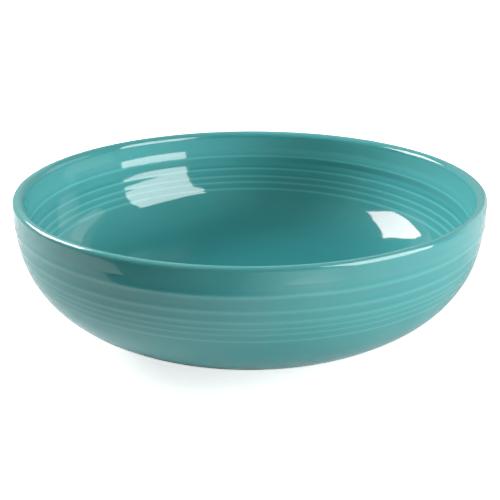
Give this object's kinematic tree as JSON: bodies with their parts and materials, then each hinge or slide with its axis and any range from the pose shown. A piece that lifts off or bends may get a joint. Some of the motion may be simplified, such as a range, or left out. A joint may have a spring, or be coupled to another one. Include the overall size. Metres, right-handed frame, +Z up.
{
  "type": "bistro bowl",
  "caption": "Wide, low round serving bowl of glazed stoneware with fine raised rings inside and out, standing on a low bare foot ring.",
  "frame": {"origin": "centre of the foot ring's standing face, on the table", "axes": "+Z up along the axis of revolution; -Y towards the viewer of the picture, +X to the right"},
  "size_m": [0.2454, 0.2454, 0.0755],
  "materials": {
    "clay": "fired stoneware, bare and slightly sandy on the standing face",
    "glaze": "glossy turquoise glaze, thinner and paler over the crests of the rings",
    "base_glaze": "glossy turquoise glaze in the recess inside the foot"
  },
  "bodies": {
    "root": {"stoneware_body": "clay", "glaze_coat": "glaze", "base_glaze": "base_glaze"}
  },
  "joints": []
}
